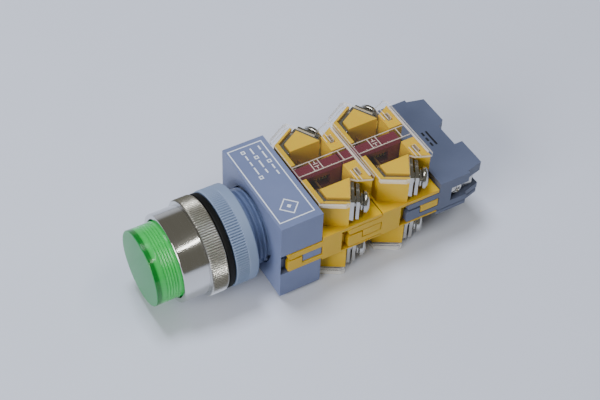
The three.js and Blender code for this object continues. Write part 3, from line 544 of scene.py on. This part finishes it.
def moulded(name, node, body, look, edge=0.25, steps=2):
    """A CAD solid's copy with its points joined, its flat faces made whole and its edges rounded."""
    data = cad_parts[node].data.copy()
    data.name = name
    data.materials.clear()
    data.materials.append(look)
    made = bpy.data.objects.new(name, data)
    bpy.context.scene.collection.objects.link(made)
    work = bmesh.new()
    work.from_mesh(data)
    bmesh.ops.remove_doubles(work, verts=work.verts, dist=0.002 * MM)
    bmesh.ops.dissolve_limit(work, angle_limit=math.radians(1), verts=work.verts, edges=work.edges)
    bmesh.ops.connect_verts_concave(work, faces=work.faces)
    work.to_mesh(data)
    work.free()
    data.shade_flat()
    soften = made.modifiers.new("rounded_edges", "BEVEL")
    soften.width = edge * MM
    soften.segments = steps
    soften.limit_method = "ANGLE"
    soften.angle_limit = math.radians(30)
    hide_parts(node)
    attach(made, body)


# ABS from a spark-eroded mould: grey-blue with a fine matt tooth, and light along its edges.
block_abs, tree, shader = material("moulded_blue_grey_abs")
grain(tree, shader, 0.15, 0.012, "636e92", "6f7b9e", (0.42, 0.56))
moulded("adapter_block_body", "adapter_block", "body", block_abs, 0.3, 3)


def slabs(name, outlines, bottom, top, look, body, slot):
    """Upright slabs in mm: each plan outline at two heights, with sides between and both ends."""
    points, faces = [], []
    for outline in outlines:
        plan = np.asarray(outline, float)
        count, start = len(plan), sum(len(layer) for layer in points)
        turn = np.roll(plan, -1, axis=0)
        if np.sum(plan[:, 0] * turn[:, 1] - turn[:, 0] * plan[:, 1]) < 0:
            plan = plan[::-1]
        points += [np.column_stack([plan, np.full(count, height)]) for height in (bottom, top)]
        ring = np.arange(count)
        after = (ring + 1) % count
        faces += (start + np.stack([ring, after, after + count, ring + count], -1)).tolist()
        faces += [(start + ring[::-1]).tolist(), (start + count + ring).tolist()]
    piece(name, np.vstack(points) * MM, faces, body, look, sharp=30)


def bar(x0, y0, x1, y1):
    """A rectangle's corners."""
    return [[x0, y0], [x1, y0], [x1, y1], [x0, y1]]


def hollow(x0, y0, x1, y1, line):
    """Four bars that frame a rectangle."""
    return [bar(x0, y0, x1, y0 + line), bar(x0, y1 - line, x1, y1),
            bar(x0, y0 + line, x0 + line, y1 - line), bar(x1 - line, y0 + line, x1, y1 - line)]


frame_line = 0.32
diamond_reach = 3.0
diamond_line = 0.44
diamond_dot = 0.7
diamond_inset = 4.6
dash_line = 0.42
dash_gap = 0.8
dash_inset = 1.6
dash_drop = 2.0
row_pitch = 2.5
box_dash = 1.2
box_line = 0.28
dash_rows = ((1.6, 2.8, 1.2, 1.8, 1.6), (2.4, 1.2, 2.8, 1.6), (1.2, 1.8, 1.6, 2.8, 1.2))
adapter_low, adapter_high = extent("adapter_block")
left, right = adapter_low[0] + 1.5, adapter_high[0] - 2.1
front, back = adapter_low[1] + 0.7, adapter_high[1] - 1.4
marks = hollow(left, front, right, back, frame_line)
diamond_x, diamond_y, inner = right - diamond_inset, (front + back) / 2, diamond_reach - diamond_line
for across, along in ((1, 1), (1, -1), (-1, 1), (-1, -1)):
    marks.append([[diamond_x + across * diamond_reach, diamond_y],
                  [diamond_x, diamond_y + along * diamond_reach],
                  [diamond_x, diamond_y + along * inner],
                  [diamond_x + across * inner, diamond_y]])
marks.append([[diamond_x - diamond_dot, diamond_y], [diamond_x, diamond_y - diamond_dot],
              [diamond_x + diamond_dot, diamond_y], [diamond_x, diamond_y + diamond_dot]])
for row, dashes in enumerate(dash_rows):
    start, level = left + dash_inset, back - dash_drop - row * row_pitch
    for dash in dashes:
        if dash > box_dash:
            marks.append(bar(start, level, start + dash, level + dash_line))
        else:
            marks += hollow(start, level - 0.4, start + dash, level + 0.8, box_line)
        start += dash + dash_gap
# Pad printing: a thin dense film of white ink, matt, that shows faintly uneven.
white_ink, tree, shader = material("white_pad_printing_ink")
grain(tree, shader, 0.12, 0.004, "cfd8e2", "e4eaf2", (0.45, 0.6))
slabs("adapter_marks", marks, adapter_high[2], adapter_high[2] + ink_thickness, white_ink, "body",
      "white_diffuser")

# ---- Contact blocks ---------------------------------------------------------------------------
# Each block is one yellow glass-filled polyester moulding, satin and slightly translucent.
# Its forks grip the block ahead, and its towers hold the screw terminals.

# Moulded polyester with glass in it: strong yellow, shaded softly in its corners by the light that
# spreads a millimetre into it, with a broad weak shine.
yellow, tree, shader = material("glass_filled_yellow_polyester", Specular_IOR_Level=0.35,
                                Subsurface_Weight=0.12, Subsurface_Scale=0.0012)
grain(tree, shader, 0.2, 0.01, "c49e1c", "cea824", (0.34, 0.48))
for number in (1, 2):
    moulded(f"block_moulding_{number}", f"contact_housing_{number}", "body", yellow,
            0.22, 3)

# ---- Sliders ----------------------------------------------------------------------------------
# Maroon acetal bars that pass the push on from block to block and carry the contact bridges.
# They are moulded glossy, and their edges catch the light.

# Moulded acetal: a waxy smooth skin, deep red-brown with clear highlights.
maroon, tree, shader = material("moulded_maroon_acetal")
grain(tree, shader, 0.2, 0.008, "561a28", "662432", (0.22, 0.34))
for number in (1, 2):
    moulded(f"slider_bar_{number}", f"slider_{number}", f"slider_{number}", maroon, 0.2, 3)

# ---- Clear covers -----------------------------------------------------------------------------
# Clear polycarbonate lids that snap into the yellow posts, see-through but bright at the edges.
# Fine ribs and a framed contact sign are moulded inside, over the slider.

rib_x = 2.1
rib_width = 0.2
rib_gap = 0.03
rib_height = 0.2
cover_plate = 0.8
sign_from = {1: 5.5, 2: 5.2}
sign_length = 2.6
sign_line = 0.18
sign_bar_x = 0.45
sign_bar_y = (0.7, 2.1)
sign_lead_x = 1.04
sign_lead_y = 1.31
sign_lead_half = 0.45
long_rib_margins = (0.4, 1.0)
cross_rib_from = 14.7
catch_ribs = (14.0, 15.1)
catch_reach = (6.2, 10.8)
catch_width = 0.22
end_rib_half = 10.4
end_rib_from = 0.85
end_rib_to = 0.25
# Clear moulded polycarbonate: its flat plates all but vanish. Its upright walls and rims are drawn more
# opaque in a pale colour, a painted highlight, so they show as pale milky lines.
clear, tree, shader = material("clear_polycarbonate", Roughness=0.05, IOR=1.58)
shader.inputs["Base Color"].default_value = linear("f4f3ee")
tilt = add(tree, "ShaderNodeSeparateXYZ", Vector=add(tree, "ShaderNodeTexCoord").outputs["Normal"])
level = add(tree, "ShaderNodeMath", {"operation": "ABSOLUTE"}, _0=tilt.outputs["Z"])
# Painted highlight: the more upright a face is, the more opaque its pale colour is drawn.
painted_rim_highlight = add(tree, "ShaderNodeMapRange", Value=level.outputs[0], From_Min=0.3, From_Max=0.98,
            To_Min=0.42, To_Max=0.01)
tree.links.new(painted_rim_highlight.outputs[0], shader.inputs["Alpha"])
# The ribs are the same plastic, seen edge on, drawn half opaque in a pale colour, a painted highlight, so
# they read as fine pale lines.
milky, tree, shader = material("clear_polycarbonate_ribs", Alpha=0.44, IOR=1.58)
grain(tree, shader, 0.4, 0.004, "e9ddd0", "f4ece2", (0.1, 0.2))
for number in (1, 2):
    for half, up in (("upper", 1), ("lower", -1)):
        node = f"{half}_cover_{number}"
        moulded(f"{half}_lid_{number}", node, "body", clear, 0.16, 2)
        low, high = extent(node)
        start, end = low[1], high[1]
        sign = start + sign_from[number]
        rib_start, rib_end = start + long_rib_margins[0], end - long_rib_margins[1]
        ribs = [bar(-rib_x, rib_start, -rib_x + rib_width, rib_end),
                bar(rib_x - rib_width, rib_start, rib_x, rib_end)]
        ribs += [bar(rib_width - rib_x, y, rib_x - rib_width, y + rib_width)
                 for y in (sign, sign + sign_length, start + cross_rib_from)]
        ribs += [bar(x - sign_line / 2, sign + sign_bar_y[0], x + sign_line / 2, sign + sign_bar_y[1])
                 for x in (-sign_bar_x, sign_bar_x)]
        ribs += [bar(x - sign_lead_half, sign + sign_lead_y, x + sign_lead_half,
                     sign + sign_lead_y + sign_line) for x in (-sign_lead_x, sign_lead_x)]
        ribs += [bar(-end_rib_half, end - end_rib_from, end_rib_half, end - end_rib_to)]
        near, far = catch_reach
        ribs += [bar(x, start + y, x + far - near, start + y + catch_width)
                 for x in (-far, near) for y in catch_ribs]
        inside = (high[2] - cover_plate - rib_gap) if up > 0 else (low[2] + cover_plate + rib_gap)
        slabs(f"{half}_lid_ribs_{number}", ribs, *sorted((inside, inside - up * rib_height)), milky, "body",
              "clear_cover")

# ---- Screw terminals --------------------------------------------------------------------------
# Nickel-plated steel: a bent terminal strip, a square clamp plate and a pan-head screw.
# The screw has a crossed recess and a captive spring washer under its head.

terminal_turn = math.radians(30)
terminal_inset = 4.75
terminal_behind_cover = 10.4
cross_half_width = 0.22
cross_sink = 0.5
# Bright nickel over pressed steel: a warm grey mirror, slightly uneven, brightest at its bends.
nickel, tree, shader = material("bright_nickel_plate", Metallic=1.0)
grain(tree, shader, 0.5, 0.004, "b9b8b4", "cfcecb", (0.12, 0.28))


def crossed_screw(stem, head, rim, reach, washer=()):
    """A pan-head screw turned about Y, with its head's domed top sunk inside two crossed bars.

    `stem` is its radius and where it starts, `head` is the head's radius and where it starts and
    ends, and `washer` is the (radius, y) outline of a washer held under the head. The dome is
    rim + (height - rim) (1 - (r / R)^4). A point (x, z) is in the cross when min(|x|, |z|) is
    under the bars' half width and max under their reach, and it drops by half the head there.
    """
    radius, base, top = head
    dome = np.linspace(1, 0.03, 26)[:, None] * [[radius - 0.1, 0]]
    dome[:, 1] = base + rim + (top - base - rim) * (1 - (dome[:, 0] / radius) ** 4)
    shank = [[0, stem[1]], [stem[0] - 0.4, stem[1]], [stem[0], stem[1] + 0.5]]
    collar = washer or [[stem[0], base]]
    edge = [[radius - 0.25, base + 0.04], [radius, base + 0.24], [radius, base + rim]]
    points, faces = lathe(np.vstack([shank, collar, edge, dome, [[0, top]]]), 96)
    thin = np.minimum(abs(points[:, 0]), abs(points[:, 2]))
    far = np.maximum(abs(points[:, 0]), abs(points[:, 2]))
    inside = np.clip((cross_half_width * reach - thin) / 0.12 + 0.5, 0, 1)
    inside *= np.clip((reach - far) / 0.3, 0, 1)
    points[:, 1] -= cross_sink * (top - base) * inside * (points[:, 1] > base + rim - 0.01)
    return points, faces


screw_points, screw_faces = crossed_screw(
    (1.75, -3.5), (3.2, 3.7, 5.7), 1.0, 1.9,
    [[1.75, 3.0], [2.55, 3.0], [2.7, 3.15], [2.7, 3.5], [2.4, 3.7]])
housing_half = extent("contact_housing_1")[1][0]
for number in (1, 2):
    for half in ("upper", "lower"):
        for hand, side in (("right", 1), ("left", -1)):
            tag = f"{half}_{hand}_{number}"
            moulded(f"strip_{tag}", f"terminal_strip_{tag}", "body", nickel, 0.1, 2)
            moulded(f"clamp_washer_{tag}", f"clamp_plate_{tag}", f"clamp_{tag}", nickel,
                    0.12, 2)
            low, high = extent(f"terminal_screw_{tag}")
            spin = np.array(Matrix.Rotation(0.35 + number + side * 0.4, 3, "Y"))
            turn = np.array(Matrix.Rotation(-side * terminal_turn, 3, "Z"))
            at = [side * (housing_half - terminal_inset),
                  extent(f"{half}_cover_{number}")[0][1] + terminal_behind_cover, (low[2] + high[2]) / 2]
            piece(f"screw_{tag}", (screw_points @ (turn @ spin).T + at) * MM, screw_faces,
                  f"clamp_{tag}", nickel, [f"terminal_screw_{tag}"], 40)

# ---- Contact bridges and springs --------------------------------------------------------------
# Rolled brass bridges with riveted tips, pressed by small coils of music wire.
# A larger coil of the same wire pushes the button back out.

wire_steps = 10
turn_steps = 20
level_turns = 0.8
level_share = 0.05
# Rolled brass strip: warm yellow metal with a soft, faintly clouded shine.
brass, tree, shader = material("rolled_brass", Metallic=1.0)
grain(tree, shader, 0.4, 0.004, "b4924e", "cba968", (0.22, 0.38))
# Drawn steel wire: smooth cool grey, with one bright line along each turn.
wire, tree, shader = material("drawn_music_wire", Metallic=1.0)
grain(tree, shader, 0.3, 0.004, "96989b", "b0b2b4", (0.2, 0.34))
for number in (1, 2):
    for kind in ("closed", "open"):
        moulded(f"{kind}_bridge_bar_{number}", f"{kind}_contact_bridge_{number}",
                f"{kind}_bridge_{number}", brass, 0.06, 2)


def coil(name, node, body, wire_radius, turns):
    """A compression spring in place of a CAD tube, with closed end turns.

    The wire's middle is (R cos a, y(a), R sin a) with a from 0 to 2 pi turns. y is nearly level
    for most of a turn at each end. A circle of the wire's radius stands across it.
    """
    low, high = extent(node)
    mean = (high[0] - low[0]) / 2 - wire_radius
    share = np.linspace(0, 1, turns * turn_steps + 1)
    angle = share * turns * 2 * np.pi
    flat = level_turns / turns
    rise = np.clip((share - flat) / (1 - 2 * flat), 0, 1) * (1 - 2 * level_share)
    rise += level_share * (np.clip(share / flat, 0, 1) + np.clip((share - 1 + flat) / flat, 0, 1))
    first, last = low[1] + wire_radius, high[1] - wire_radius
    middle = np.column_stack([mean * np.cos(angle), first + rise * (last - first), mean * np.sin(angle)])
    outward = np.column_stack([np.cos(angle), np.zeros_like(angle), np.sin(angle)])
    ring = np.linspace(0, 2 * np.pi, wire_steps, endpoint=False)
    points = middle[:, None] + wire_radius * (
        np.cos(ring)[None, :, None] * outward[:, None] + np.sin(ring)[None, :, None] * np.array([0, 1, 0]))
    count = len(middle)
    faces = grid_faces(count, wire_steps, False, True)
    faces += [list(range(wire_steps))[::-1], list(range((count - 1) * wire_steps, count * wire_steps))]
    centre = (low + high) / 2
    made = piece(name, (points.reshape(-1, 3) + [centre[0], 0, centre[2]]) * MM, faces, body, wire,
                 [node], 60)
    work = bmesh.new()
    work.from_mesh(made.data)
    bmesh.ops.recalc_face_normals(work, faces=work.faces)
    work.to_mesh(made.data)
    work.free()
    return made


def squashed(made):
    """Gives a spring its own copy of its mesh, at its length at rest."""
    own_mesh(made)


squashed(coil("return_coil", "return_spring", "body", 0.5, 7))
for number in (1, 2):
    for kind, end, turns in (("closed", 1, 5), ("open", -1, 4)):
        node = f"{kind}_contact_spring_{number}"
        squashed(coil(f"{kind}_coil_{number}", node, f"slider_{number}", 0.2, turns))

# ---- Lamp supply block ------------------------------------------------------------------------
# A darker grey-blue ABS block that latches on behind the contacts, with a base plugged in below.
# The printed sign on its top, a bar over three dashes, says that it takes direct current.

# Moulded ABS again, in a darker grey-blue, with the same fine matt tooth.
supply_abs, tree, shader = material("moulded_dark_blue_grey_abs")
grain(tree, shader, 0.15, 0.012, "4e566d", "59627a", (0.42, 0.56))
moulded("supply_block_body", "supply_housing", "body", supply_abs, 0.3, 3)
moulded("supply_base_plate", "supply_base", "body", supply_abs, 0.3, 3)
# Black pad printing ink: a thin matt film.
black_ink, tree, shader = material("black_pad_printing_ink")
grain(tree, shader, 0.12, 0.004, "15171c", "202329", (0.4, 0.55))
supply_high = extent("supply_housing")[1]
sign_y = supply_high[1] - 8.0
dash_apart = 2.25
dash_half = 0.75
sign = [bar(-dash_apart - dash_half, sign_y + 0.5, dash_apart + dash_half, sign_y + 1.1)]
sign += [bar(x - dash_half, sign_y - 0.9, x + dash_half, sign_y - 0.3) for x in (-dash_apart, 0, dash_apart)]
slabs("supply_sign", sign, supply_high[2], supply_high[2] + ink_thickness, black_ink, "body",
      "supply_grey_blue")
supply_screw_length = 5.8
supply_screw_from = extent("supply_screw_right")[0][0]
supply_points, supply_faces = crossed_screw((1.3, 0), (2.2, 4.4, supply_screw_length), 0.6, 1.4)
for hand in ("right", "left"):
    moulded(f"supply_tab_strip_{hand}", f"supply_tab_{hand}", "body", nickel, 0.1, 2)
    low, high = extent(f"supply_screw_{hand}")
    side = 1 if hand == "right" else -1
    turn = np.array(Matrix.Rotation(-side * math.pi / 2, 3, "Z") @ Matrix.Rotation(0.5, 3, "Y"))
    at = [side * supply_screw_from, (low[1] + high[1]) / 2, (low[2] + high[2]) / 2]
    piece(f"supply_screw_head_{hand}", (supply_points @ turn.T + at) * MM, supply_faces,
          f"supply_screw_{hand}", nickel, [f"supply_screw_{hand}"], 40)

# ---- Lamp and carrier -------------------------------------------------------------------------
# Inside the head a small glass lamp stands in a white nylon holder, and a white carrier holds
# the lens. Two tinned leads run back to the dropping resistor in the supply block.

# Blown lamp glass: clear, and shiny all over.
glass, tree, shader = material("clear_lamp_glass", Transmission_Weight=0.6, IOR=1.5)
grain(tree, shader, 2.0, 0.004, "eef0ea", "fafaf6", (0.04, 0.1))
# Moulded white nylon: a soft off-white that light soaks a millimetre into.
nylon, tree, shader = material("moulded_white_nylon", Subsurface_Weight=0.2, Subsurface_Scale=0.001)
grain(tree, shader, 0.2, 0.01, "dcdcd6", "ebebe6", (0.4, 0.55))
# Tinned copper wire: pale grey metal with a dulled shine.
tinned, tree, shader = material("tinned_copper_lead", Metallic=1.0)
grain(tree, shader, 0.3, 0.004, "b6b3ac", "c9c7c1", (0.25, 0.4))
# Glazed ceramic: a sandy beige body with a thin satin glaze.
ceramic, tree, shader = material("glazed_resistor_ceramic")
grain(tree, shader, 0.3, 0.01, "b7a684", "c8b998", (0.3, 0.5))
for node, look in {
    "lamp_bulb": glass, "lamp_holder": nylon, "button_carrier": nylon,
    "lamp_lead_right": tinned, "lamp_lead_left": tinned, "series_resistor": ceramic,
}.items():
    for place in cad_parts[node].material_slots:
        place.material = look
